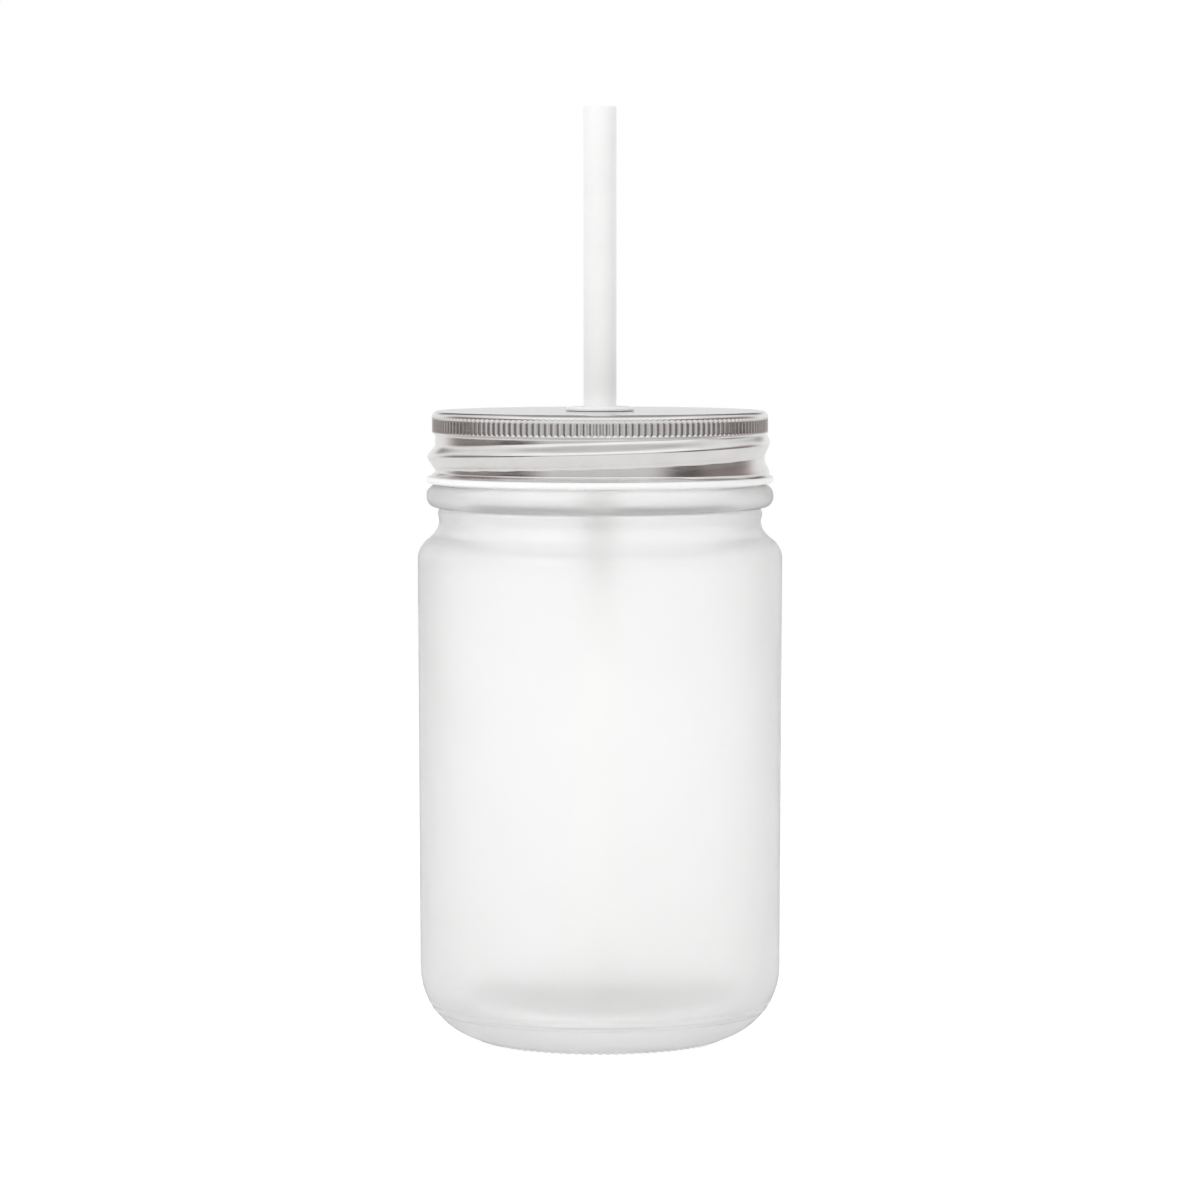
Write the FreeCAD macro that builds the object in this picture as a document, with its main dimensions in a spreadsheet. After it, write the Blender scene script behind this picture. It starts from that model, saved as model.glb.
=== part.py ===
"""Frosted drinking jar with a one-piece screw lid, a straw grommet and a straw.

Every piece is a parametric body driven by the aliases of one sheet of sizes.
Millimetres, Z up, the jar standing on Z = 0 with its axis on Z.
"""
import FreeCAD, Part
import math
import os
import Sketcher

SHEET = "dims"

# alias, value in mm (degrees, turns or a count where the note says so), note
SIZES = [
    ("jar_height", 128.45, "base to sealing rim"),
    ("body_dia", 75.2, "widest, just under the shoulder"),
    ("body_taper", 0.45, "radius lost from shoulder to heel"),
    ("heel_radius", 15.0, "rounding between side and base"),
    ("bearing_width", 1.65, "flat ring the jar stands on, measured along the radius"),
    ("punt_depth", 2.4, "hollow under the base"),
    ("glass_wall", 3.2, "side wall"),
    ("glass_floor", 6.6, "base to inside floor at the wall"),
    ("floor_crown", 0.6, "rise of the inside floor at its centre"),
    ("floor_radius", 9.5, "rounding between inside wall and floor"),
    ("neck_inset", 4.45, "body radius to neck radius"),
    ("finish_wall", 3.05, "neck wall under the thread"),
    ("rim_radius", 0.9, "rounding of the sealing rim"),
    ("neck_length", 4.65, "transfer bead to the top corner of the shoulder"),
    ("shoulder_angle", 50.0, "degrees off the vertical"),
    ("shoulder_radius", 4.4, "rounding at both ends of the shoulder"),
    ("bead_stand", 2.6, "transfer bead stands out from the neck"),
    ("bead_height", 4.7, "transfer bead"),
    ("bead_radius", 2.2, "rounding of the transfer bead"),
    ("bead_root", 0.7, "rounding where the bead meets the neck"),
    ("bead_clear", 0.3, "curled edge of the lid to the transfer bead"),
    ("thread_lead", 6.35, "rise in one turn, right-handed"),
    ("thread_depth", 1.2, "height of the glass thread"),
    ("thread_crest", 0.5, "rounding of the glass thread"),
    ("thread_half", 1.55, "half width of the glass thread at its root"),
    ("thread_drop", 4.95, "rim to the upper end of the thread"),
    ("thread_turns", 1.0, "whole turns of full thread"),
    ("fade_turns", 0.125, "turns over which a thread fades"),
    ("fade_sink", 0.1, "faded thread ends this far under the wall"),
    ("thread_bite", 0.6, "thread section sunk in the wall"),
    ("flank_run", 0.3, "half width that the sunk part of a section gains"),
    ("sheet_gauge", 0.3, "thickness of the lid sheet"),
    ("lid_clear", 0.55, "neck to the inside of the skirt"),
    ("lid_height", 14.8, "top panel to curled edge"),
    ("lid_corner", 1.1, "rounding of the top edge"),
    ("lid_chamfer", 0.85, "inside corner under the top panel"),
    ("ridge_height", 1.6, "rolled thread outside the skirt"),
    ("ridge_crest", 1.0, "rounding of the rolled thread"),
    ("ridge_half", 2.2, "half width of the rolled thread at its root"),
    ("ridge_turns", 1.1811, "turns of the rolled thread at its full height"),
    ("ridge_fade", 0.25, "turns over which the rolled thread sinks into the curl"),
    ("ridge_sink", 1.0, "height the rolled thread loses in the curl"),
    ("ridge_narrow", 0.12, "inside of the rolled thread, half width lost"),
    ("knurl_step", 0.6, "knurled band stands out from the skirt"),
    ("knurl_height", 4.4, "top panel to the foot of the knurled band"),
    ("knurl_foot", 0.5, "height of the slope under the knurled band"),
    ("knurl_depth", 0.28, "depth of one flute"),
    ("knurl_half", 0.45, "half width of one flute"),
    ("knurl_upper", 0.15, "rounded top edge to the upper end of the flutes"),
    ("knurl_lower", 0.3, "foot of the band to the lower end of the flutes"),
    ("knurl_count", 165, "count of flutes"),
    ("curl_out", 1.75, "curled edge stands out from the skirt"),
    ("curl_height", 1.5, "curled edge"),
    ("curl_width", 1.05, "curled edge, measured along the radius"),
    ("curl_radius", 0.7, "rounding of the curled edge"),
    ("flare_height", 0.9, "slope from skirt to curled edge"),
    ("liner_gauge", 1.0, "thickness of the sealing ring"),
    ("liner_width", 3.2, "sealing ring, measured along the radius"),
    ("liner_inset", 0.35, "neck radius to the outer edge of the sealing ring"),
    ("liner_radius", 0.3, "rounding of the sealing ring"),
    ("seal_gap", 0.05, "sealing ring to rim, uncompressed"),
    ("flange_over", 2.1, "upper flange past the straw hole"),
    ("flange_gauge", 0.85, "upper flange of the grommet"),
    ("flange_radius", 0.45, "rounding of the upper flange"),
    ("foot_over", 1.5, "lower flange past the straw hole"),
    ("foot_gauge", 1.1, "lower flange of the grommet"),
    ("groove_clear", 0.1, "grommet groove to the lid sheet"),
    ("grommet_wall", 1.44, "grommet between straw and groove"),
    ("straw_dia", 6.8, "outside of the straw"),
    ("straw_wall", 0.6, "wall of the straw"),
    ("straw_length", 180.0, "end to end"),
    ("straw_edge", 0.2, "rounding of the straw ends"),
    ("straw_lift", 5.1, "inside floor to the lower end of the straw"),
    ("straw_clear", 0.06, "straw to the bore of the grommet"),
]

doc = FreeCAD.newDocument("drinking_jar")


def fill_sheet():
    """Write every size into the sheet under its alias."""
    sheet = doc.addObject("Spreadsheet::Sheet", SHEET)
    for row, (alias, value, note) in enumerate(SIZES, start=1):
        sheet.set("A%d" % row, alias)
        sheet.set("B%d" % row, str(value))
        sheet.set("C%d" % row, note)
        sheet.setAlias("B%d" % row, alias)
    doc.recompute()
    return sheet


def linked(text):
    """Prefix every alias in an expression with the sheet's name."""
    names = {alias for alias, _, _ in SIZES}
    out, word = [], ""
    for letter in text + " ":
        if letter.isalnum() or letter == "_":
            word += letter
            continue
        out.append("<<%s>>.%s" % (SHEET, word) if word in names else word)
        out.append(letter)
        word = ""
    return "".join(out).strip()


def value_of(owner, text):
    """Number an expression has now."""
    return float(owner.evalExpression(linked(text)))


def new_body(label):
    """Empty body carrying its label."""
    body = doc.addObject("PartDesign::Body", label)
    body.Label = label
    return body


def datum(body, role):
    """Plane or axis of a body's own origin."""
    return next(item for item in body.Origin.OriginFeatures if item.Role == role)


def new_sketch(body, label, role="XZ_Plane"):
    """Sketch lying on one plane of the body's origin."""
    sketch = body.newObject("Sketcher::SketchObject", label)
    sketch.AttachmentSupport = (datum(body, role), [""])
    sketch.MapMode = "FlatFace"
    return sketch


def bind(sketch, kind, arguments, text):
    """Add a dimension and bind it to an expression."""
    index = sketch.addConstraint(Sketcher.Constraint(kind, *arguments, value_of(sketch, text)))
    sketch.setExpression("Constraints[%d]" % index, linked(text))


def pin_corner(sketch, edge, across, up, end=1):
    """Hold one end of an edge at a radius and a height."""
    if across == "0":
        sketch.addConstraint(Sketcher.Constraint("PointOnObject", edge, end, -2))
    else:
        bind(sketch, "DistanceX", (-1, 1, edge, end), across)
    if up == "0":
        sketch.addConstraint(Sketcher.Constraint("PointOnObject", edge, end, -1))
    else:
        bind(sketch, "DistanceY", (-1, 1, edge, end), up)


def draw_outline(body, label, corners, role="XZ_Plane"):
    """Closed outline of straight edges, every corner bound to the sheet."""
    sketch = new_sketch(body, label, role)
    points = []
    for across, up in corners:
        points.append(FreeCAD.Vector(value_of(sketch, across), value_of(sketch, up), 0))
    count = len(points)
    for index in range(count):
        sketch.addGeometry(Part.LineSegment(points[index], points[(index + 1) % count]), False)
    for index in range(count):
        following = (index + 1) % count
        sketch.addConstraint(Sketcher.Constraint("Coincident", index, 2, following, 1))
    for index, (across, up) in enumerate(corners):
        pin_corner(sketch, index, across, up)
    return sketch


def draw_tooth(body, label, root, crest, rounding, half, height):
    """Thread section: two straight flanks meeting in a rounded crest."""
    sketch = new_sketch(body, label)
    inner = value_of(sketch, root)
    outer = value_of(sketch, crest)
    radius = value_of(sketch, rounding)
    spread = value_of(sketch, half)
    level = value_of(sketch, height)
    centre = FreeCAD.Vector(outer - radius, level, 0)
    low = FreeCAD.Vector(inner, level - spread, 0)
    high = FreeCAD.Vector(inner, level + spread, 0)
    reach = math.hypot(centre.x - inner, spread)
    lean = math.atan2(spread, centre.x - inner) - math.asin(radius / reach)
    turn = math.pi / 2 - lean
    swing = FreeCAD.Vector(math.cos(turn), math.sin(turn), 0) * radius
    upper = centre + swing
    lower = centre + FreeCAD.Vector(swing.x, -swing.y, 0)
    circle = Part.Circle(centre, FreeCAD.Vector(0, 0, 1), radius)
    sketch.addGeometry(Part.LineSegment(low, lower), False)
    sketch.addGeometry(Part.ArcOfCircle(circle, -turn, turn), False)
    sketch.addGeometry(Part.LineSegment(upper, high), False)
    sketch.addGeometry(Part.LineSegment(high, low), False)
    sketch.addConstraint(Sketcher.Constraint("Tangent", 0, 2, 1, 1))
    sketch.addConstraint(Sketcher.Constraint("Tangent", 1, 2, 2, 1))
    sketch.addConstraint(Sketcher.Constraint("Coincident", 2, 2, 3, 1))
    sketch.addConstraint(Sketcher.Constraint("Coincident", 3, 2, 0, 1))
    sketch.addConstraint(Sketcher.Constraint("Vertical", 3))
    bind(sketch, "DistanceX", (-1, 1, 1, 3), "%s - (%s)" % (crest, rounding))
    bind(sketch, "DistanceY", (-1, 1, 1, 3), height)
    bind(sketch, "Radius", (1,), rounding)
    bind(sketch, "DistanceX", (-1, 1, 0, 1), root)
    bind(sketch, "DistanceY", (-1, 1, 0, 1), "%s - (%s)" % (height, half))
    bind(sketch, "DistanceY", (-1, 1, 2, 2), "%s + %s" % (height, half))
    return sketch


def turn_profile(body, kind, label, sketch):
    """Revolve a sketch about Z, adding to or cutting from the body."""
    feature = body.newObject("PartDesign::" + kind, label)
    feature.Profile = sketch
    feature.ReferenceAxis = (datum(body, "Z_Axis"), [""])
    feature.Angle = 360
    sketch.Visibility = False
    doc.recompute()
    return feature


def wind(body, kind, label, sketch, turns, growth="0", down=False):
    """Sweep a thread section along a right-handed helix about Z."""
    feature = body.newObject("PartDesign::" + kind, label)
    feature.Profile = sketch
    feature.ReferenceAxis = (datum(body, "Z_Axis"), [""])
    feature.Mode = "height-turns-growth"
    feature.LeftHanded = False
    feature.Reversed = down
    feature.setExpression("Turns", linked(turns))
    feature.setExpression("Height", linked("thread_lead * (%s)" % turns))
    if growth != "0":
        feature.setExpression("Growth", linked(growth))
    doc.recompute()
    return feature


def draw_circles(body, label, radii):
    """Circles about Z on the body's base plane."""
    sketch = new_sketch(body, label, "XY_Plane")
    for index, text in enumerate(radii):
        circle = Part.Circle(FreeCAD.Vector(), FreeCAD.Vector(0, 0, 1), value_of(sketch, text))
        sketch.addGeometry(circle, False)
        sketch.addConstraint(Sketcher.Constraint("Coincident", index, 3, -1, 1))
        bind(sketch, "Radius", (index,), text)
    return sketch


def draw_flute(body, label, surface, level):
    """V-shaped flute section on the X axis, its point under the surface."""
    sketch = new_sketch(body, label, "XY_Plane")
    sketch.setExpression("AttachmentOffset.Base.z", linked(level))
    near = value_of(sketch, "%s - knurl_depth" % surface)
    far = value_of(sketch, "%s + knurl_depth" % surface)
    side = value_of(sketch, "knurl_half * 2")
    tip = FreeCAD.Vector(near, 0, 0)
    left = FreeCAD.Vector(far, side, 0)
    right = FreeCAD.Vector(far, -side, 0)
    for start, finish in ((tip, right), (right, left), (left, tip)):
        sketch.addGeometry(Part.LineSegment(start, finish), False)
    for edge in range(3):
        sketch.addConstraint(Sketcher.Constraint("Coincident", edge, 2, (edge + 1) % 3, 1))
    sketch.addConstraint(Sketcher.Constraint("PointOnObject", 0, 1, -1))
    sketch.addConstraint(Sketcher.Constraint("Symmetric", 1, 1, 1, 2, -1))
    bind(sketch, "DistanceX", (-1, 1, 0, 1), "%s - knurl_depth" % surface)
    bind(sketch, "DistanceX", (-1, 1, 1, 1), "%s + knurl_depth" % surface)
    bind(sketch, "DistanceY", (1, 1, 1, 2), "knurl_half * 4")
    return sketch


def extrude(body, kind, label, sketch, length, flip=False):
    """Straight pad or pocket of one sketch."""
    feature = body.newObject("PartDesign::" + kind, label)
    feature.Profile = sketch
    feature.Reversed = flip
    feature.setExpression("Length", linked(length))
    sketch.Visibility = False
    doc.recompute()
    return feature


def ring_edges(shape, radius, level):
    """Names of the full circles about Z of one radius at one height."""
    names = []
    for index, edge in enumerate(shape.Edges, start=1):
        curve = edge.Curve
        if not isinstance(curve, Part.Circle):
            continue
        if abs(curve.Radius - radius) < 1e-4 and abs(curve.Center.z - level) < 1e-4:
            names.append("Edge%d" % index)
    return names


def round_rings(body, label, base, rings, size):
    """Round the circular edges named by their radius and height."""
    feature = body.newObject("PartDesign::Fillet", label)
    names = []
    for across, up in rings:
        found = ring_edges(base.Shape, value_of(body, across), value_of(body, up))
        if not found:
            raise RuntimeError("%s: no ring at %s, %s" % (label, across, up))
        names += found
    feature.Base = (base, names)
    feature.setExpression("Radius", linked(size))
    base.Visibility = False
    doc.recompute()
    return feature


fill_sheet()

# Heights and radii shared by several pieces.
NECK = "(body_dia / 2 - neck_inset)"
MOUTH = "(body_dia / 2 - neck_inset - finish_wall)"
SKIRT_IN = "(body_dia / 2 - neck_inset + lid_clear)"
SKIRT_OUT = "(body_dia / 2 - neck_inset + lid_clear + sheet_gauge)"
BORE = "(straw_dia / 2 + straw_clear)"
HOLE = "(straw_dia / 2 + straw_clear + grommet_wall + groove_clear)"
FLOOR_TOP = "(glass_floor + floor_crown)"
LID_UNDER = "(jar_height + seal_gap + liner_gauge)"
LID_LOW = "(jar_height + seal_gap + liner_gauge + sheet_gauge - lid_height)"
BEAD_TOP = "(jar_height + seal_gap + liner_gauge + sheet_gauge - lid_height - bead_clear)"
THREAD_TOP = "(jar_height - thread_drop)"


def build_jar():
    """Glass jar: punted base, tapering body, shoulder, bead and threaded neck."""
    body = new_body("glass_jar")
    heel = "body_dia / 2 - body_taper"
    side = "body_dia / 2 - glass_wall"
    bead = "(%s + bead_stand)" % NECK
    bead_low = "(%s - bead_height)" % BEAD_TOP
    slope = "tan(shoulder_angle * 1 deg)"
    lean = "tan(shoulder_angle * 0.5 deg)"
    corner_up = "(%s - bead_height - neck_length)" % BEAD_TOP
    corner_low = "(%s - neck_inset / %s)" % (corner_up, slope)
    inner_low = "(%s - glass_wall * %s)" % (corner_low, lean)
    inner_up = "%s + (neck_inset + finish_wall - glass_wall) / %s" % (inner_low, slope)
    foot = "%s - glass_wall" % heel
    profile = draw_outline(body, "jar_profile", [
        ("0", "punt_depth"),
        ("%s - heel_radius - bearing_width" % heel, "0"),
        (heel, "0"),
        ("body_dia / 2", corner_low),
        (NECK, corner_up),
        (NECK, bead_low),
        (bead, bead_low),
        (bead, BEAD_TOP),
        (NECK, BEAD_TOP),
        (NECK, "jar_height"),
        (MOUTH, "jar_height"),
        (MOUTH, inner_up),
        (side, inner_low),
        (foot, "glass_floor"),
        ("0", FLOOR_TOP),
    ])
    shape = turn_profile(body, "Revolution", "jar_turned", profile)
    shape = round_rings(body, "heel_round", shape, [(heel, "0")], "heel_radius")
    shape = round_rings(body, "floor_round", shape, [(foot, "glass_floor")], "floor_radius")
    shape = round_rings(body, "shoulder_round", shape, [
        ("body_dia / 2", corner_low),
        (NECK, corner_up),
        (MOUTH, inner_up),
        (side, inner_low),
    ], "shoulder_radius")
    shape = round_rings(body, "bead_round", shape, [
        (bead, bead_low),
        (bead, BEAD_TOP),
    ], "bead_radius")
    shape = round_rings(body, "bead_root_round", shape, [
        (NECK, bead_low),
        (NECK, BEAD_TOP),
    ], "bead_root")
    round_rings(body, "rim_round", shape, [
        (NECK, "jar_height"),
        (MOUTH, "jar_height"),
    ], "rim_radius")
    root = "%s - thread_bite" % NECK
    crest = "%s + thread_depth" % NECK
    half = "(thread_half + flank_run)"
    sink = "-(thread_depth + fade_sink) / fade_turns"
    upper = draw_tooth(body, "thread_section", root, crest, "thread_crest", half, THREAD_TOP)
    wind(body, "AdditiveHelix", "thread", upper, "thread_turns", down=True)
    wind(body, "AdditiveHelix", "thread_upper_fade", upper, "fade_turns", sink)
    end = "(jar_height - thread_drop - thread_lead * thread_turns)"
    lower = draw_tooth(body, "thread_end_section", root, crest, "thread_crest", half, end)
    wind(body, "AdditiveHelix", "thread_lower_fade", lower, "fade_turns", sink, down=True)
    return body


def build_lid():
    """Sheet lid: knurled band, rolled thread, curled edge and straw hole."""
    body = new_body("screw_lid")
    body.setExpression("Placement.Base.z", linked(LID_LOW))
    band = "(%s + knurl_step)" % SKIRT_OUT
    curl = "(%s + curl_out)" % SKIRT_OUT
    curl_in = "(%s + curl_out - curl_width)" % SKIRT_OUT
    foot = "(lid_height - knurl_height)"
    blank = draw_outline(body, "lid_profile", [
        ("0", "0"),
        (curl, "0"),
        (curl, "curl_height"),
        (SKIRT_OUT, "curl_height + flare_height"),
        (SKIRT_OUT, "%s - knurl_foot" % foot),
        (band, foot),
        (band, "lid_height"),
        ("0", "lid_height"),
    ])
    shape = turn_profile(body, "Revolution", "lid_blank", blank)
    shape = round_rings(body, "top_round", shape, [(band, "lid_height")], "lid_corner")
    round_rings(body, "curl_round", shape, [(curl, "0"), (curl, "curl_height")], "curl_radius")

    ridge = "(lid_height - sheet_gauge - liner_gauge - seal_gap - thread_drop)"
    ridge_end = "(%s - thread_lead * ridge_turns)" % ridge
    root = "%s - thread_bite" % SKIRT_OUT
    crest = "%s + ridge_height" % SKIRT_OUT
    half = "(ridge_half + flank_run)"
    sink = "-(ridge_height + fade_sink) / fade_turns"
    outer = draw_tooth(body, "ridge_section", root, crest, "ridge_crest", half, ridge)
    wind(body, "AdditiveHelix", "ridge_upper_fade", outer, "fade_turns", sink)
    wind(body, "AdditiveHelix", "ridge", outer, "ridge_turns", down=True)
    lower = draw_tooth(body, "ridge_end_section", root, crest, "ridge_crest", half, ridge_end)
    sink_low = "-ridge_sink / ridge_fade"
    wind(body, "AdditiveHelix", "ridge_lower_fade", lower, "ridge_fade", sink_low, down=True)
    under = draw_circles(body, "trim_section", ["%s + lid_height" % curl])
    extrude(body, "Pocket", "curl_trim", under, "lid_height")

    hollow = draw_outline(body, "hollow_profile", [
        ("0", "0"),
        (curl_in, "0"),
        (curl_in, "curl_height"),
        (SKIRT_IN, "curl_height + %s - %s" % (curl_in, SKIRT_IN)),
        (SKIRT_IN, "lid_height - sheet_gauge - lid_chamfer"),
        ("%s - lid_chamfer" % SKIRT_IN, "lid_height - sheet_gauge"),
        ("0", "lid_height - sheet_gauge"),
    ])
    turn_profile(body, "Groove", "hollow", hollow)
    root_in = "%s - thread_bite" % SKIRT_IN
    crest_in = "%s + ridge_height" % SKIRT_IN
    round_in = "(ridge_crest - sheet_gauge)"
    half_in = "(ridge_half - ridge_narrow + flank_run)"
    inner = draw_tooth(body, "groove_section", root_in, crest_in, round_in, half_in, ridge)
    wind(body, "SubtractiveHelix", "ridge_hollow", inner, "ridge_turns", down=True)
    wind(body, "SubtractiveHelix", "ridge_hollow_fade", inner, "fade_turns", sink)

    opening = draw_circles(body, "hole_section", [HOLE])
    extrude(body, "Pocket", "straw_hole", opening, "lid_height * 2", flip=True)
    flute = draw_flute(body, "flute_section", band, "lid_height - lid_corner - knurl_upper")
    reach = "knurl_height - lid_corner - knurl_upper - knurl_lower"
    first = extrude(body, "Pocket", "flute", flute, reach)
    knurl = body.newObject("PartDesign::PolarPattern", "knurl")
    knurl.Originals = [first]
    knurl.Axis = (datum(body, "Z_Axis"), [""])
    knurl.Angle = 360
    knurl.Refine = False
    knurl.setExpression("Occurrences", linked("knurl_count"))
    body.Tip = knurl
    doc.recompute()
    return body


def build_liner():
    """Sealing ring bonded under the top panel."""
    body = new_body("lid_liner")
    body.setExpression("Placement.Base.z", linked("jar_height + seal_gap"))
    outer = "(%s - liner_inset)" % NECK
    inner = "(%s - liner_inset - liner_width)" % NECK
    profile = draw_outline(body, "liner_profile", [
        (inner, "0"),
        (outer, "0"),
        (outer, "liner_gauge"),
        (inner, "liner_gauge"),
    ])
    ring = turn_profile(body, "Revolution", "liner_ring", profile)
    round_rings(body, "liner_round", ring, [(inner, "0"), (outer, "0")], "liner_radius")
    return body


def build_grommet():
    """Soft ring whose groove grips the edge of the straw hole."""
    body = new_body("straw_grommet")
    body.setExpression("Placement.Base.z", linked("%s - foot_gauge" % LID_UNDER))
    waist = "(%s - groove_clear)" % HOLE
    flange = "(%s + flange_over)" % HOLE
    rest = "(%s + foot_over)" % HOLE
    low = "(foot_gauge - groove_clear)"
    high = "(foot_gauge + sheet_gauge + groove_clear)"
    top = "(foot_gauge + sheet_gauge + groove_clear + flange_gauge)"
    profile = draw_outline(body, "grommet_profile", [
        (BORE, "0"),
        (rest, "0"),
        (rest, low),
        (waist, low),
        (waist, high),
        (flange, high),
        (flange, top),
        (BORE, top),
    ])
    ring = turn_profile(body, "Revolution", "grommet_ring", profile)
    round_rings(body, "grommet_round", ring, [
        (flange, top),
        (rest, "0"),
    ], "flange_radius")
    return body


def build_straw():
    """Straight drinking straw with rounded ends."""
    body = new_body("straw")
    body.setExpression("Placement.Base.z", linked("%s + straw_lift" % FLOOR_TOP))
    outer = "straw_dia / 2"
    inner = "(straw_dia / 2 - straw_wall)"
    section = draw_circles(body, "straw_section", [outer, inner])
    tube = extrude(body, "Pad", "straw_tube", section, "straw_length")
    round_rings(body, "straw_ends", tube, [
        (outer, "0"),
        (inner, "0"),
        (outer, "straw_length"),
        (inner, "straw_length"),
    ], "straw_edge")
    return body


def check_pieces(pieces):
    """Stop if any feature failed or any piece is not one valid solid."""
    doc.recompute()
    for item in doc.Objects:
        if "Invalid" in item.State or "Error" in item.State:
            raise RuntimeError("%s failed: %s" % (item.Label, item.State))
    for piece in pieces:
        shape = piece.Shape
        if shape.isNull() or not shape.isValid() or len(shape.Solids) != 1:
            raise RuntimeError("%s is not one valid solid" % piece.Label)
        print("%s: %.2f mm3" % (piece.Label, shape.Volume))


def write_pieces(pieces):
    """Write each piece where it sits in the assembled jar."""
    os.makedirs("parts", exist_ok=True)
    for piece in pieces:
        piece.Shape.exportStep("parts/%s.step" % piece.Label)


PIECES = [build_jar(), build_lid(), build_liner(), build_grommet(), build_straw()]
check_pieces(PIECES)
write_pieces(PIECES)
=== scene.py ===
"""Dressed model of a frosted drinking jar with a screw lid, a straw grommet and a straw.

Outlines are written in millimetres and turned about Z; finished meshes are in metres.
"""
import logging
import math
from dataclasses import dataclass
from enum import Enum
from typing import Callable, Dict, List, Optional, Sequence, Tuple, Union

import bmesh
import bpy
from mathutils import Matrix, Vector


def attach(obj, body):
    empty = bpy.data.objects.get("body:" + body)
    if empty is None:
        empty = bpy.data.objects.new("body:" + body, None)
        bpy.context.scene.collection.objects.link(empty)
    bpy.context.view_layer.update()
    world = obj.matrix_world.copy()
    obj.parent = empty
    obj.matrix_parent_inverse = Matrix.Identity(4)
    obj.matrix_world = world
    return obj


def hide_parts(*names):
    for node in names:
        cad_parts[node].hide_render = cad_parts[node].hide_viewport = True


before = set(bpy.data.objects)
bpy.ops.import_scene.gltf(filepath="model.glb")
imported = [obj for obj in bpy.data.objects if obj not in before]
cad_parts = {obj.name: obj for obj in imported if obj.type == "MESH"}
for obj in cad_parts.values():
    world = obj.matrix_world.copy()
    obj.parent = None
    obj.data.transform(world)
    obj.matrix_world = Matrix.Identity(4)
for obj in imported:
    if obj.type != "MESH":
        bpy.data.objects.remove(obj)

LOG = logging.getLogger("drinking_jar")
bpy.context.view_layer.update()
MM = 0.001

Corner = Tuple[float, float, float]
Point = Tuple[float, float]
Mould = Callable[[float, float, float], Point]
Colour = Tuple[float, float, float]
Rows = Tuple[float, float, int]
Term = Union[float, bpy.types.NodeSocket]


class Side(Enum):
    """Which face of a wall a turned skin belongs to."""

    OUTSIDE = 0
    INSIDE = 1


class Seen(Enum):
    """Kinds of ray that see the surroundings in their own way, the later ones first."""

    GLOSSY = "Is Glossy Ray"
    THROUGH = "Is Transmission Ray"
    CAMERA = "Is Camera Ray"


def ease(value: float) -> float:
    """Smooth step from 0 to 1 over the unit range."""
    value = min(max(value, 0.0), 1.0)
    return value * value * (3.0 - 2.0 * value)


def upright(across: float, rows: Rows) -> List[Corner]:
    """Evenly spaced points of a straight wall.

    Args:
        across: radius in mm.
        rows: first height, step and number of points.

    Returns:
        The points, as corners without rounding.
    """
    first, step, count = rows
    return [(across, first + step * row, 0.0) for row in range(count)]


@dataclass(frozen=True)
class Thread:
    """Right-handed raised helix about Z, fading at both ends, sizes in mm.

    Attributes:
        top: height of the crest on the +X side.
        lead: rise in one turn.
        start: turns below the +X side at which the full height begins.
        end: turns below the +X side at which it ends.
        fade_up: turns over which the upper end fades.
        fade_down: turns over which the lower end fades.
        height: how far the crest stands out.
        half: half width at the root.
        crest: rounding of the crest above the straight lower flank, as a share of half.
    """

    top: float
    lead: float
    start: float
    end: float
    fade_up: float
    fade_down: float
    height: float
    half: float
    crest: float = 0.14

    def stand(self, angle: float, level: float) -> float:
        """How far the thread stands out at an angle and a height.

        Args:
            angle: angle about Z, in radians.
            level: height in mm.

        Returns:
            The distance out from the root, in mm.
        """
        best = 0.0
        for whole in (-2, -1, 0, 1):
            turn = angle / math.tau + whole
            before, after = turn + self.start, -turn - self.end
            if before > self.fade_up or after > self.fade_down:
                continue
            away = (level - self.top - self.lead * turn) / self.half
            if abs(away) >= 1.0:
                continue
            if away > 0.0:
                rise = 0.5 + 0.5 * math.cos(math.pi * away)
            else:
                rise = (math.hypot(1.0, self.crest) - math.hypot(away, self.crest)) / (
                    math.hypot(1.0, self.crest) - self.crest
                )
            share = ease(1.0 - before / self.fade_up) * ease(1.0 - after / self.fade_down)
            best = max(best, self.height * share * rise)
        return best


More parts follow.
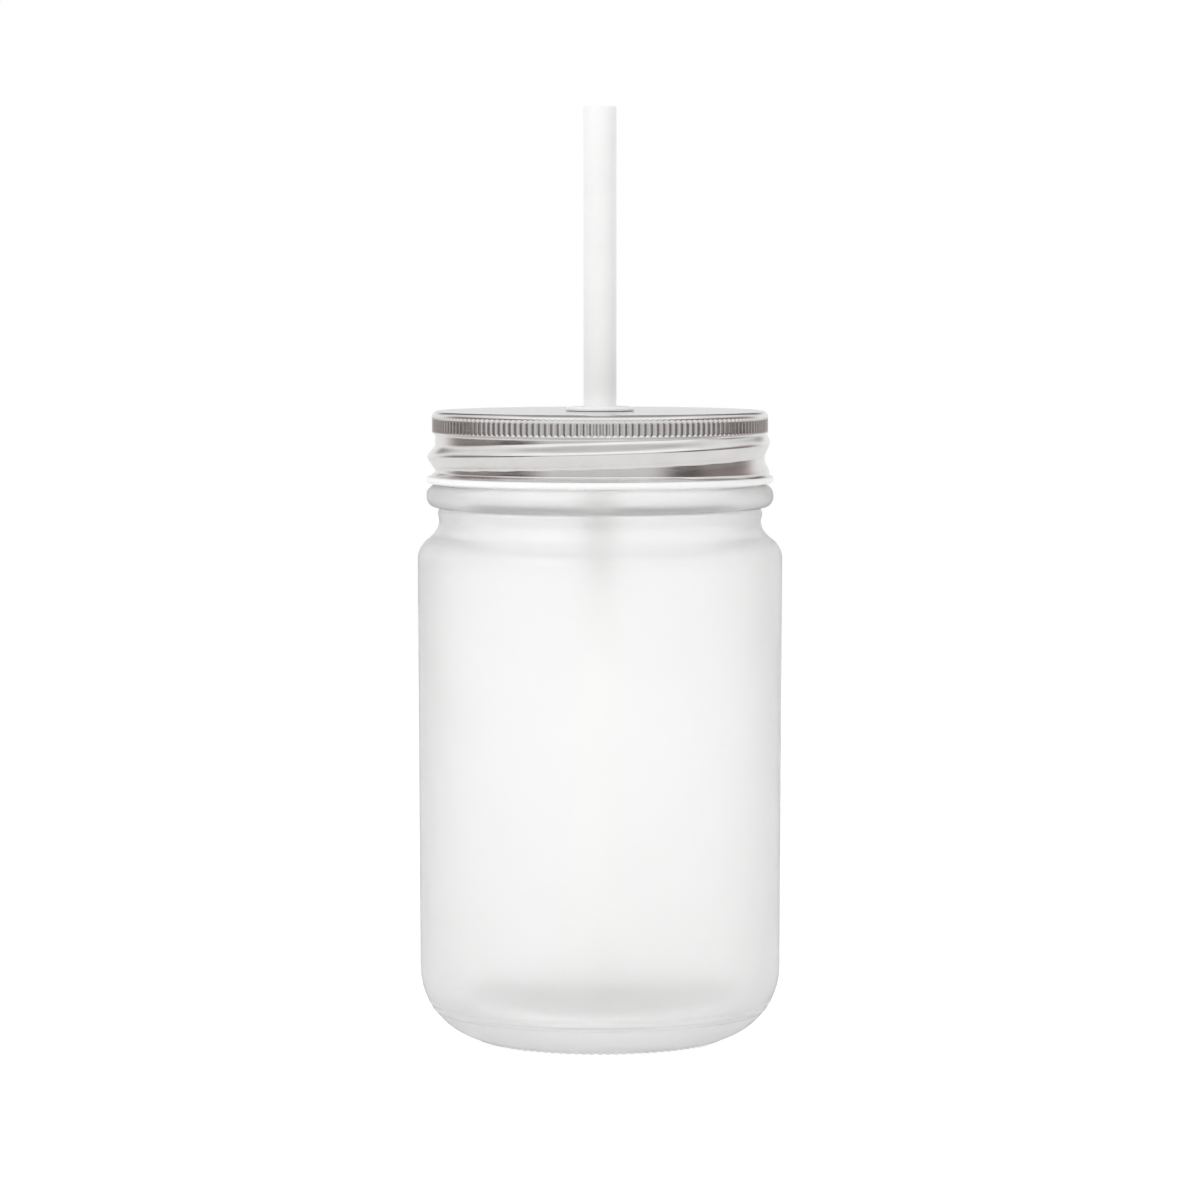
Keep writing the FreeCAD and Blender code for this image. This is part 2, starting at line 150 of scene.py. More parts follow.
@dataclass(frozen=True)
class Lathe:
    """Turns outlines about Z.

    Attributes:
        steps: divisions of a full turn.
        run: longest straight piece of an outline, in mm.
        arc: largest angle of one piece of a rounded corner, in degrees.
        chord: longest piece of a rounded corner, in mm.
        wedges: equal wedges of the turn; one is spun and the rest are its copies.
    """

    steps: int
    run: float
    arc: float
    chord: float = 10.0
    wedges: int = 6

    def outline(self, corners: Sequence[Corner], closed: bool) -> bmesh.types.BMesh:
        """Draw an outline with rounded corners and divided runs.

        Args:
            corners: radius, height and rounding of each corner.
            closed: whether the last corner joins the first.

        Returns:
            A mesh of edges in the XZ plane.
        """
        mesh = bmesh.new()
        verts = [mesh.verts.new((across, 0.0, up)) for across, up, _ in corners]
        links = list(zip(verts, verts[1:]))
        if closed:
            links.append((verts[-1], verts[0]))
        for pair in links:
            mesh.edges.new(pair)
        jobs: List[Tuple[bmesh.types.BMVert, float, int]] = []
        for vert, (_, _, rounding) in zip(verts, corners):
            if rounding <= 0.0:
                continue
            arms = [(edge.other_vert(vert).co - vert.co) for edge in vert.link_edges]
            half = arms[0].angle(arms[1]) / 2.0
            sweep = math.pi - 2.0 * half
            count = max(2, math.ceil(math.degrees(sweep) / self.arc))
            count = max(count, math.ceil(sweep * rounding / self.chord))
            jobs.append((vert, rounding / math.tan(half), count))
        for vert, reach, count in jobs:
            bmesh.ops.bevel(
                mesh, geom=[vert], offset=reach, offset_type="OFFSET", affect="VERTICES",
                segments=count, profile=0.5, material=-1,
            )
        for edge in list(mesh.edges):
            cuts = math.ceil(edge.calc_length() / self.run) - 1
            if cuts > 0:
                bmesh.ops.subdivide_edges(mesh, edges=[edge], cuts=cuts)
        return mesh

    def skin(
        self, corners: Sequence[Corner], side: Side = Side.OUTSIDE,
        closed: bool = False, mould: Optional[Mould] = None,
    ) -> bmesh.types.BMesh:
        """Turn an outline into a skin and press a pattern into it.

        Args:
            corners: radius, height and rounding of each corner.
            side: which finish the skin carries.
            closed: whether the outline is a ring.
            mould: gives a point's new radius and height from its radius, angle and height.

        Returns:
            The skin, in mm.
        """
        mesh = self.outline(corners, closed)
        wedge = math.tau / self.wedges
        bmesh.ops.spin(
            mesh, geom=mesh.verts[:] + mesh.edges[:], cent=(0, 0, 0), axis=(0, 0, 1),
            angle=wedge, steps=self.steps // self.wedges,
        )
        bmesh.ops.spin(
            mesh, geom=mesh.verts[:] + mesh.edges[:] + mesh.faces[:], cent=(0, 0, 0),
            axis=(0, 0, 1), angle=math.tau - wedge, steps=self.wedges - 1, use_duplicate=True,
        )
        bmesh.ops.remove_doubles(mesh, verts=mesh.verts[:], dist=0.0005)
        for face in mesh.faces:
            face.material_index = side.value
        if mould is not None:
            for vert in mesh.verts:
                across = math.hypot(vert.co.x, vert.co.y)
                if across > 1e-6:
                    angle = math.atan2(vert.co.y, vert.co.x)
                    wide, high = mould(across, angle, vert.co.z)
                    vert.co = (vert.co.x * wide / across, vert.co.y * wide / across, high)
        return mesh


def close_piece(
    name: str, skins: Sequence[bmesh.types.BMesh], finishes: Sequence[bpy.types.Material]
) -> bpy.types.Object:
    """Join skins into one closed piece in metres.

    Args:
        name: name of the new object.
        skins: turned skins whose ends meet.
        finishes: materials in the order of the skins' sides.

    Returns:
        The finished object at the origin.
    """
    data = bpy.data.meshes.new(name)
    whole = bmesh.new()
    for skin in skins:
        skin.to_mesh(data)
        whole.from_mesh(data)
        skin.free()
    bmesh.ops.remove_doubles(whole, verts=whole.verts[:], dist=0.002)
    bmesh.ops.recalc_face_normals(whole, faces=whole.faces[:])
    bmesh.ops.scale(whole, vec=(MM, MM, MM), verts=whole.verts[:])
    for face in whole.faces:
        face.smooth = True
    data.clear_geometry()
    whole.to_mesh(data)
    whole.free()
    for finish in finishes:
        data.materials.append(finish)
    piece = bpy.data.objects.new(name, data)
    bpy.context.scene.collection.objects.link(piece)
    return piece


def seat(piece: bpy.types.Object, body: str, node: str) -> bpy.types.Object:
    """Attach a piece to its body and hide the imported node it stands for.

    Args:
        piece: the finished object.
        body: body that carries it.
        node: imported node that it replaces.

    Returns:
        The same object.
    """
    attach(piece, body)
    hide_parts(node)
    LOG.info("%s: %d faces on %s", piece.name, len(piece.data.polygons), body)
    return piece


class Figures:
    """Short arithmetic on sockets of one node tree."""

    def __init__(self, tree: bpy.types.NodeTree) -> None:
        """Work in one tree.

        Args:
            tree: node tree of a world or material.
        """
        self.tree = tree

    def math(self, operation: str, *terms: Term) -> bpy.types.NodeSocket:
        """One arithmetic step.

        Args:
            operation: name of the step.
            terms: sockets or numbers.

        Returns:
            The result socket.
        """
        node = self.tree.nodes.new("ShaderNodeMath")
        node.operation = operation
        for slot, term in zip(node.inputs, terms):
            if isinstance(term, bpy.types.NodeSocket):
                self.tree.links.new(term, slot)
            else:
                slot.default_value = term
        return node.outputs[0]

    def product(self, *masks: bpy.types.NodeSocket) -> bpy.types.NodeSocket:
        """Multiply masks together.

        Args:
            masks: sockets that run from 0 to 1.

        Returns:
            The product socket.
        """
        whole = masks[0]
        for mask in masks[1:]:
            whole = self.math("MULTIPLY", whole, mask)
        return whole

    def ramp(self, source: bpy.types.NodeSocket, start: float, end: float) -> bpy.types.NodeSocket:
        """Smooth step of a socket.

        Args:
            source: socket to read.
            start: value at which the step is 0.
            end: value at which the step is 1.

        Returns:
            The step socket.
        """
        node = self.tree.nodes.new("ShaderNodeMapRange")
        node.interpolation_type = "SMOOTHSTEP"
        node.inputs["From Min"].default_value = start
        node.inputs["From Max"].default_value = end
        self.tree.links.new(source, node.inputs["Value"])
        return node.outputs["Result"]

    def choose(self, mask: bpy.types.NodeSocket, off: Term, on: Term) -> bpy.types.NodeSocket:
        """Value that is off where the mask is 0 and on where it is 1."""
        kept = self.math("MULTIPLY", off, self.math("SUBTRACT", 1.0, mask))
        return self.math("MULTIPLY_ADD", mask, on, kept)

    def blend(self, mask: bpy.types.NodeSocket) -> Tuple[List[bpy.types.NodeSocket], bpy.types.NodeSocket]:
        """Place a mix of two colours.

        Args:
            mask: 0 for the first colour, 1 for the second.

        Returns:
            The two colour inputs and the mixed output.
        """
        node = self.tree.nodes.new("ShaderNodeMix")
        node.data_type = "RGBA"
        self.tree.links.new(mask, node.inputs["Factor"])
        colours = [socket for socket in node.inputs if socket.type == "RGBA"]
        mixed = [socket for socket in node.outputs if socket.type == "RGBA"]
        return colours, mixed[0]


class Grain:
    """Shared node group: one scale of unevenness as a mask and as a height."""

    name = "grain"

    @classmethod
    def group(cls) -> bpy.types.NodeTree:
        """The group, built on first use.

        Returns:
            The node tree with inputs Vector, Scale, Detail, Low and High.
        """
        found = bpy.data.node_groups.get(cls.name)
        if found is not None:
            return found
        tree = bpy.data.node_groups.new(cls.name, "ShaderNodeTree")
        face = tree.interface
        face.new_socket("Vector", in_out="INPUT", socket_type="NodeSocketVector")
        for label in ("Scale", "Detail", "Low", "High"):
            face.new_socket(label, in_out="INPUT", socket_type="NodeSocketFloat")
        face.new_socket("Value", in_out="OUTPUT", socket_type="NodeSocketFloat")
        face.new_socket("Height", in_out="OUTPUT", socket_type="NodeSocketFloat")
        start = tree.nodes.new("NodeGroupInput")
        end = tree.nodes.new("NodeGroupOutput")
        noise = tree.nodes.new("ShaderNodeTexNoise")
        spread = tree.nodes.new("ShaderNodeMapRange")
        spread.inputs["From Min"].default_value = 0.3
        spread.inputs["From Max"].default_value = 0.7
        join = tree.links.new
        for label in ("Vector", "Scale", "Detail"):
            join(start.outputs[label], noise.inputs[label])
        join(noise.outputs["Fac"], spread.inputs["Value"])
        join(start.outputs["Low"], spread.inputs["To Min"])
        join(start.outputs["High"], spread.inputs["To Max"])
        join(spread.outputs["Result"], end.inputs["Value"])
        join(noise.outputs["Fac"], end.inputs["Height"])
        return tree


class Recipe:
    """A material under construction, with its shader and coordinates at hand."""

    def __init__(self, name: str) -> None:
        """Start an empty material.

        Args:
            name: name of the material.
        """
        self.material = bpy.data.materials.new(name)
        self.material.use_nodes = True
        self.tree = self.material.node_tree
        self.shader = self.tree.nodes["Principled BSDF"]
        self.place = self.tree.nodes.new("ShaderNodeTexCoord")
        self.sums = Figures(self.tree)

    def add(self, kind: str) -> bpy.types.Node:
        """New node of one kind."""
        return self.tree.nodes.new(kind)

    def join(self, source: bpy.types.NodeSocket, target: bpy.types.NodeSocket) -> None:
        """Link two sockets."""
        self.tree.links.new(source, target)

    def plain(self, **values: object) -> None:
        """Set plain shader values.

        Args:
            values: value of each input, an underscore in its name standing for a space.
        """
        for label, value in values.items():
            self.shader.inputs[label.replace("_", " ")].default_value = value

    def axes(self) -> bpy.types.Node:
        """Split the piece's own coordinates.

        Returns:
            The node with outputs X, Y and Z.
        """
        split = self.add("ShaderNodeSeparateXYZ")
        self.join(self.place.outputs["Object"], split.inputs["Vector"])
        return split

    def wrapped(self, around: float, along: float) -> bpy.types.NodeSocket:
        """Coordinates that run round the piece and along its axis.

        Args:
            around: factor on the angle.
            along: factor on the height.

        Returns:
            The vector socket.
        """
        split = self.axes().outputs
        angle = self.sums.math("ARCTAN2", split["Y"], split["X"])
        merge = self.add("ShaderNodeCombineXYZ")
        self.join(self.sums.math("MULTIPLY", angle, around), merge.inputs["X"])
        self.join(self.sums.math("MULTIPLY", split["Z"], along), merge.inputs["Y"])
        return merge.outputs["Vector"]

    def grain(
        self, scale: float, low: float = 0.0, high: float = 1.0, detail: float = 3.0,
        vector: Optional[bpy.types.NodeSocket] = None,
    ) -> bpy.types.Node:
        """Place the shared grain group.

        Args:
            scale: features per metre.
            low: least mask value.
            high: greatest mask value.
            detail: octaves.
            vector: coordinates, or None for the piece's own.

        Returns:
            The group node.
        """
        node = self.add("ShaderNodeGroup")
        node.node_tree = Grain.group()
        node.inputs["Scale"].default_value = scale
        node.inputs["Detail"].default_value = detail
        node.inputs["Low"].default_value = low
        node.inputs["High"].default_value = high
        self.join(vector or self.place.outputs["Object"], node.inputs["Vector"])
        return node

    def tint(self, mask: bpy.types.NodeSocket, *colours: Colour) -> None:
        """Vary the base colour by a mask.

        Args:
            mask: 0 for the first colour, 1 for the last.
            colours: two colours, or one that is laid over the colour made so far.
        """
        entry = self.shader.inputs["Base Color"]
        slots, mixed = self.sums.blend(mask)
        if entry.is_linked:
            self.join(entry.links[0].from_socket, slots[0])
        for slot, colour in zip(slots[-len(colours):], colours):
            slot.default_value = (*colour, 1.0)
        self.join(mixed, entry)

    def bump(
        self, height: bpy.types.NodeSocket, depth: float, strength: float,
        under: Optional[bpy.types.Node] = None,
    ) -> bpy.types.Node:
        """Raise the surface by a height and feed the shader's normal.

        Args:
            height: height socket.
            depth: distance in metres for a height of one.
            strength: share of the effect.
            under: an earlier bump to build on.

        Returns:
            The bump node.
        """
        node = self.add("ShaderNodeBump")
        node.inputs["Distance"].default_value = depth
        node.inputs["Strength"].default_value = strength
        self.join(height, node.inputs["Height"])
        if under is not None:
            self.join(under.outputs["Normal"], node.inputs["Normal"])
        self.join(node.outputs["Normal"], self.shader.inputs["Normal"])
        return node


@dataclass(frozen=True)
class FrostedGlass:
    """Satin-etched outside of the glass."""

    pale: Colour = (0.992, 0.992, 0.990)
    deep: Colour = (0.978, 0.978, 0.975)
    ior: float = 1.32
    clear: float = 0.8
    rough_low: float = 0.40
    rough_high: float = 0.50
    seams: Tuple[Tuple[float, float], ...] = ((0.0064, 1.0), (0.0078, 0.5))
    seam_half: float = 0.00065
    seam_rise: float = 0.00024

    def make(self) -> bpy.types.Material:
        """Material with a fine etched grain, faint cloudiness and the lines of the mould.

        Returns:
            The finished material.
        """
        recipe = Recipe("frosted_glass")
        recipe.plain(Metallic=0.0, IOR=self.ior, Transmission_Weight=self.clear)
        cloud = recipe.grain(55.0, self.rough_low, self.rough_high, 4.0)
        recipe.join(cloud.outputs["Value"], recipe.shader.inputs["Roughness"])
        shade = recipe.grain(38.0, 0.0, 1.0, 2.0)
        recipe.tint(shade.outputs["Value"], self.pale, self.deep)
        wave = recipe.bump(recipe.grain(42.0, detail=1.0).outputs["Height"], 0.0006, 0.25)
        etch = recipe.bump(recipe.grain(5200.0).outputs["Height"], 0.00003, 0.35, wave)
        sums = recipe.sums
        level = recipe.axes().outputs["Z"]
        lines: Term = 0.0
        for seam, share in self.seams:
            away = sums.math("ABSOLUTE", sums.math("SUBTRACT", level, seam))
            lines = sums.math("MULTIPLY_ADD", sums.ramp(away, self.seam_half, 0.0), share, lines)
        recipe.bump(lines, self.seam_rise, 1.0, etch)
        return recipe.material


@dataclass(frozen=True)
class ClearGlass:
    """Fire-polished inside of the glass, with painted shade that darkens the lower wall and, more strongly,
    the base.
    """

    pale: Colour = (0.998, 0.998, 0.998)
    deep: Colour = (0.990, 0.990, 0.990)
    # painted shade: colours that darken the lower wall and, more strongly, the base
    lower_wall_shade: Colour = (0.92, 0.92, 0.918)
    base_shade: Colour = (0.56, 0.56, 0.557)
    base_low: float = 0.0070
    base_high: float = 0.0090
    wall_high: float = 0.060
    ior: float = 1.32

    def make(self) -> bpy.types.Material:
        """Smooth material with the slow waves of pressed glass, and painted shade darkening the lower wall
        and the base.

        Returns:
            The finished material.
        """
        recipe = Recipe("clear_glass")
        recipe.plain(Metallic=0.0, IOR=self.ior, Transmission_Weight=1.0)
        polish = recipe.grain(60.0, 0.03, 0.09, 2.0)
        recipe.join(polish.outputs["Value"], recipe.shader.inputs["Roughness"])
        recipe.tint(recipe.grain(30.0).outputs["Value"], self.pale, self.deep)
        level = recipe.axes().outputs["Z"]
        # painted shade: darker towards the bottom of the wall and darker still over the base
        recipe.tint(recipe.sums.ramp(level, self.wall_high, self.base_high), self.lower_wall_shade)
        recipe.tint(recipe.sums.ramp(level, self.base_high, self.base_low), self.base_shade)
        recipe.bump(recipe.grain(34.0, detail=1.5).outputs["Height"], 0.0012, 0.35)
        return recipe.material


@dataclass(frozen=True)
class Tinplate:
    """Bright rolled sheet of the lid."""

    light: Colour = (0.78, 0.77, 0.765)
    dull: Colour = (0.70, 0.69, 0.685)
    # painted shade: darker colour laid into the bottoms of the knurl's flutes
    flute_shade: Colour = (0.66, 0.64, 0.635)
    rough_low: float = 0.15
    rough_high: float = 0.23
    band: float = 0.0346
    band_low: float = 0.1254
    band_high: float = 0.1286
    band_fade: float = 0.0003
    flute_edge: float = 0.00008
    flute_bottom: float = 0.00024

    def flutes(self, recipe: Recipe) -> bpy.types.NodeSocket:
        """Mask of the bottoms of the knurl's flutes, where shade is painted into the colour.

        Args:
            recipe: the material under construction.

        Returns:
            A socket that is 1 in the flutes.
        """
        sums = recipe.sums
        place = recipe.axes().outputs
        squared = sums.math("MULTIPLY", place["Y"], place["Y"])
        squared = sums.math("MULTIPLY_ADD", place["X"], place["X"], squared)
        across = sums.math("SQRT", squared)
        return sums.product(
            sums.ramp(across, self.band - self.flute_edge, self.band - self.flute_bottom),
            sums.ramp(place["Z"], self.band_low, self.band_low + self.band_fade),
            sums.ramp(place["Z"], self.band_high, self.band_high - self.band_fade),
        )

    def make(self) -> bpy.types.Material:
        """Metal with faint rolling lines, soft stains and painted shade darkening the bottoms of the knurl's
        flutes.

        Returns:
            The finished material.
        """
        recipe = Recipe("lid_tinplate")
        recipe.plain(Metallic=1.0)
        lines = recipe.grain(1.0, self.rough_low, self.rough_high, 4.0, recipe.wrapped(14.0, 5200.0))
        recipe.join(lines.outputs["Value"], recipe.shader.inputs["Roughness"])
        stain = recipe.grain(130.0, 0.0, 1.0, 5.0)
        recipe.tint(stain.outputs["Value"], self.light, self.dull)
        # painted shade in the bottoms of the knurl's flutes
        recipe.tint(self.flutes(recipe), self.flute_shade)
        soft = recipe.bump(recipe.grain(260.0, detail=2.0).outputs["Height"], 0.00003, 0.15)
        recipe.bump(lines.outputs["Height"], 0.000004, 0.3, soft)
        return recipe.material


@dataclass(frozen=True)
class Enamel:
    """White stoved enamel on the inside of the lid and its curled edge."""

    white: Colour = (0.96, 0.96, 0.955)
    shade: Colour = (0.93, 0.93, 0.925)

    def make(self) -> bpy.types.Material:
        """Glossy white with a slight orange-peel surface.

        Returns:
            The finished material.
        """
        recipe = Recipe("white_enamel")
        recipe.plain(Metallic=0.0, IOR=1.5)
        gloss = recipe.grain(60.0, 0.26, 0.34)
        recipe.join(gloss.outputs["Value"], recipe.shader.inputs["Roughness"])
        recipe.tint(recipe.grain(90.0).outputs["Value"], self.white, self.shade)
        recipe.bump(recipe.grain(150.0, detail=1.0).outputs["Height"], 0.00002, 0.15)
        return recipe.material


@dataclass(frozen=True)
class Compound:
    """Matte sealing compound of the liner."""

    white: Colour = (0.82, 0.82, 0.80)
    shade: Colour = (0.74, 0.74, 0.72)

    def make(self) -> bpy.types.Material:
        """Soft matte off-white with a fine pitted surface.

        Returns:
            The finished material.
        """
        recipe = Recipe("liner_compound")
        recipe.plain(Metallic=0.0)
        dull = recipe.grain(1400.0, 0.6, 0.8)
        recipe.join(dull.outputs["Value"], recipe.shader.inputs["Roughness"])
        recipe.tint(recipe.grain(400.0).outputs["Value"], self.white, self.shade)
        recipe.bump(dull.outputs["Height"], 0.00006, 0.4)
        return recipe.material


@dataclass(frozen=True)
class Silicone:
    """Soft translucent grommet."""

    pale: Colour = (0.97, 0.97, 0.97)
    deep: Colour = (0.93, 0.93, 0.935)

    def make(self) -> bpy.types.Material:
        """Milky material with a dusty matte skin.

        Returns:
            The finished material.
        """
        recipe = Recipe("clear_silicone")
        recipe.plain(Metallic=0.0, IOR=1.41, Transmission_Weight=0.12)
        skin = recipe.grain(2200.0, 0.38, 0.55)
        recipe.join(skin.outputs["Value"], recipe.shader.inputs["Roughness"])
        recipe.tint(recipe.grain(350.0).outputs["Value"], self.pale, self.deep)
        recipe.bump(skin.outputs["Height"], 0.00003, 0.3)
        return recipe.material


@dataclass(frozen=True)
class StrawPlastic:
    """Satin white extruded plastic."""

    white: Colour = (0.93, 0.93, 0.925)
    shade: Colour = (0.89, 0.89, 0.885)

    def make(self) -> bpy.types.Material:
        """White plastic with faint draw lines along its length.

        Returns:
            The finished material.
        """
        recipe = Recipe("straw_plastic")
        recipe.plain(Metallic=0.0, IOR=1.46)
        draw = recipe.grain(1.0, 0.28, 0.42, 3.0, recipe.wrapped(18.0, 25.0))
        recipe.join(draw.outputs["Value"], recipe.shader.inputs["Roughness"])
        recipe.tint(recipe.grain(90.0).outputs["Value"], self.white, self.shade)
        recipe.bump(draw.outputs["Height"], 0.00003, 0.25)
        return recipe.material


@dataclass
class GlassJar:
    """Pressed glass jar: frosted outside, clear inside."""

    height: float = 128.45
    body: float = 37.6
    taper: float = 0.45
    wall: float = 3.2
    neck: float = 33.15
    mouth: float = 30.1
    bead: float = 35.75
    bead_low: float = 110.0
    bead_top: float = 114.7
    corner_up: float = 105.35
    corner_low: float = 101.616
    inner_up: float = 103.732
    inner_low: float = 100.124
    heel: float = 15.0
    bearing: float = 20.5
    punt: float = 2.4
    floor: float = 6.6
    crown: float = 0.6
    bearing_round: float = 0.5
    floor_round: float = 9.5
    shoulder_round: float = 4.4
    bead_round: float = 2.2
    bead_root: float = 0.45
    thread_root: float = 0.7
    rim_round: float = 0.9
    rim_middle: float = 1.4
    seams: Tuple[Point, ...] = ((6.4, 1.0), (7.75, 0.45))
    seam_height: float = 0.18
    seam_half: float = 0.6
    seam_zone: Point = (28.0, 12.0)
    neck_seam: float = 109.33
    neck_reach: float = 0.9
    neck_step: float = 0.26
    neck_step_run: float = 0.12
    neck_step_low: float = 107.0
    neck_step_fade: float = 1.6
    neck_rows: Rows = (108.55, 0.11, 9)
    thread_rows: Rows = (115.6, 0.65, 18)
    stipples: int = 96
    stipple_depth: float = 0.34
    stipple_ring: float = 25.2
    stipple_half: float = 1.6
    stipple_top: float = 1.2
    thread: Thread = Thread(123.5, 6.35, 0.10, 0.78, 0.14, 0.20, 1.2, 1.85)
    lathe: Lathe = Lathe(384, 10.0, 6.0, 0.38, 24)
    inner_lathe: Lathe = Lathe(384, 12.0, 11.0, wedges=24)

    def outside(self) -> List[Corner]:
        """Outline from the middle of the punt up to the rim.

        Returns:
            The corners in order.
        """
        rim = self.mouth + self.rim_middle
        return [
            (0.0, self.punt, 0.0), (self.bearing, 0.0, self.bearing_round),
            (self.body - self.taper, 0.0, self.heel),
            (self.body, self.corner_low, self.shoulder_round),
            (self.neck, self.corner_up, self.shoulder_round), *upright(self.neck, self.neck_rows),
            (self.neck, self.bead_low, self.bead_root), (self.bead, self.bead_low, self.bead_round),
            (self.bead, self.bead_top, self.bead_round), (self.neck, self.bead_top, self.thread_root),
            *upright(self.neck, self.thread_rows), (self.neck, self.height, self.rim_round),
            (rim, self.height, 0.0),
        ]

    def inside(self) -> List[Corner]:
        """Outline from the rim down to the middle of the floor.

        Returns:
            The corners in order.
        """
        bore = self.body - self.wall
        return [
            (self.mouth + self.rim_middle, self.height, 0.0), (self.mouth, self.height, self.rim_round),
            (self.mouth, self.inner_up, self.shoulder_round), (bore, self.inner_low, self.shoulder_round),
            (self.body - self.taper - self.wall, self.floor, self.floor_round),
            (0.0, self.floor + self.crown, 0.0),
        ]

    def mould(self, across: float, angle: float, level: float) -> Point:
        """Press the thread, mould seams and bearing stipples into the outside.

        Args:
            across: radius in mm.
            angle: angle about Z, in radians.
            level: height in mm.

        Returns:
            The new radius and height in mm.
        """
        zone_across, zone_level = self.seam_zone
        if level > self.bead_top:
            if across > self.neck - 0.02:
                across = max(across, self.neck + self.thread.stand(angle, level))
        elif level > self.corner_up:
            if across < self.neck + self.neck_reach:
                step = ease((self.neck_seam - level) / self.neck_step_run)
                across += self.neck_step * step * ease((level - self.neck_step_low) / self.neck_step_fade)
        elif level < zone_level and across > zone_across:
            for seam, share in self.seams:
                away = abs(level - seam) / self.seam_half
                across += self.seam_height * share * ease(1.0 - away)
        elif level < self.stipple_top and across > self.bearing:
            knob = 0.5 + 0.5 * math.cos(angle * self.stipples)
            place = ease(1.0 - abs(across - self.stipple_ring) / self.stipple_half)
            level = max(0.0, level - self.stipple_depth * knob * place)
        return across, level

    def build(self) -> bpy.types.Object:
        """Turn, mould and dress the jar.

        Returns:
            The finished piece.
        """
        skins = [
            self.lathe.skin(self.outside(), Side.OUTSIDE, mould=self.mould),
            self.inner_lathe.skin(self.inside(), Side.INSIDE),
        ]
        piece = close_piece("jar_glass", skins, [FrostedGlass().make(), ClearGlass().make()])
        return seat(piece, "jar", "glass_jar")


@dataclass
class ScrewLid:
    """One-piece sheet lid with a knurled band, a rolled thread and a curled edge."""

    base: float = 115.0
    top: float = 129.8
    gauge: float = 0.3
    hole: float = 5.0
    band: float = 34.6
    skirt: float = 34.0
    skirt_in: float = 33.7
    curl: float = 35.75
    foot: float = 125.4
    flutes: int = 165
    flute_depth: float = 0.30
    flute_half: float = 0.52
    flute_low: float = 125.85
    flute_high: float = 128.2
    hole_rings: Point = (0.08, 0.3)
    panel_edge: float = 1.5
    rim_round: float = 1.1
    bend: float = 0.85
    foot_drop: float = 0.5
    foot_round: float = 0.2
    curl_meet: Point = (0.8, 1.42)
    run_out: Point = (1.0, 1.2)
    inner_run_out: Point = (1.6, 1.4)
    band_rows: Rows = (128.6, -0.24, 13)
    skirt_rows: Rows = (124.55, -0.25, 28)
    inner_rows: Rows = (118.2, 0.6, 13)
    thread: Thread = Thread(123.5, 6.35, 0.10, 0.80, 0.22, 0.45, 1.6, 2.6)
    inner_thread: Thread = Thread(123.5, 6.35, 0.10, 0.80, 0.22, 0.45, 1.55, 2.45)
    lathe: Lathe = Lathe(825, 40.0, 18.0, wedges=33)

    def outside(self) -> List[Corner]:
        """Bare metal from the hole over the top and down to the curled edge.

        Returns:
            The corners in order.
        """
        meet_in, meet_up = self.curl_meet
        return [
            (self.hole, self.top, 0.0), *((self.hole + ring, self.top, 0.0) for ring in self.hole_rings),
            (self.band - self.panel_edge, self.top, 0.0), (self.band, self.top, self.rim_round),
            *upright(self.band, self.band_rows), (self.band, self.foot, self.foot_round),
            (self.skirt, self.foot - self.foot_drop, self.foot_round), *upright(self.skirt, self.skirt_rows),
            (self.skirt, self.base + 2.35, 0.35), (self.curl - meet_in, self.base + meet_up, 0.0),
        ]

    def inside(self) -> List[Corner]:
        """Enamel from the curled edge up inside the skirt to the hole.

        Returns:
            The corners in order.
        """
        meet_in, meet_up = self.curl_meet
        ceiling = self.top - self.gauge
        return [
            (self.curl - meet_in, self.base + meet_up, 0.0), (self.curl, self.base + 1.45, 0.62),
            (self.curl, self.base, 0.68), (self.curl - 1.05, self.base, 0.3),
            (self.curl - 1.05, self.base + 1.5, 0.3), (self.skirt_in, self.base + 2.5, 0.4),
            *upright(self.skirt_in, self.inner_rows), (self.skirt_in, ceiling - self.bend, 0.4),
            (self.skirt_in - self.bend, ceiling, 0.4), (self.hole + 0.1, ceiling, 0.0),
            (self.hole, ceiling, 0.0), (self.hole, self.top, 0.0),
        ]

    def flute(self, angle: float, level: float) -> float:
        """Depth of the knurl's flutes, rounded at both ends.

        Args:
            angle: angle about Z, in radians.
            level: height in mm.

        Returns:
            The depth in mm.
        """
        phase = angle / math.tau * self.flutes
        aside = (phase - round(phase)) * math.tau * self.band / self.flutes
        beyond = max(self.flute_low - level, level - self.flute_high, 0.0)
        share = (aside * aside + beyond * beyond) / self.flute_half ** 2
        return self.flute_depth * max(0.0, 1.0 - share)

    def press_outside(self, across: float, angle: float, level: float) -> Point:
        """New place of a point of the outer face.

        Args:
            across: radius in mm.
            angle: angle about Z, in radians.
            level: height in mm.

        Returns:
            The new radius and height in mm.
        """
        if across > self.band - 0.01 and level > self.foot:
            across -= self.flute(angle, level)
        elif across > self.skirt - 0.05 and level < self.foot + 0.1:
            run_out = ease((level - self.base - self.run_out[0]) / self.run_out[1])
            across = max(across, self.skirt + run_out * self.thread.stand(angle, level))
        return across, level

    def press_inside(self, across: float, angle: float, level: float) -> Point:
        """New place of a point of the inner face of the skirt.

        Args:
            across: radius in mm.
            angle: angle about Z, in radians.
            level: height in mm.

        Returns:
            The new radius and height in mm.
        """
        if self.skirt_in - 0.05 < across < self.curl - 0.9 and self.base + 1.8 < level < self.foot:
            run_out = ease((level - self.base - self.inner_run_out[0]) / self.inner_run_out[1])
            across = max(across, self.skirt_in + run_out * self.inner_thread.stand(angle, level))
        return across, level

    def build(self) -> bpy.types.Object:
        """Turn, press and dress the lid.

        Returns:
            The finished piece.
        """
        skins = [
            self.lathe.skin(self.outside(), Side.OUTSIDE, mould=self.press_outside),
            self.lathe.skin(self.inside(), Side.INSIDE, mould=self.press_inside),
        ]
        piece = close_piece("lid_sheet", skins, [Tinplate().make(), Enamel().make()])
        return seat(piece, "lid", "screw_lid")


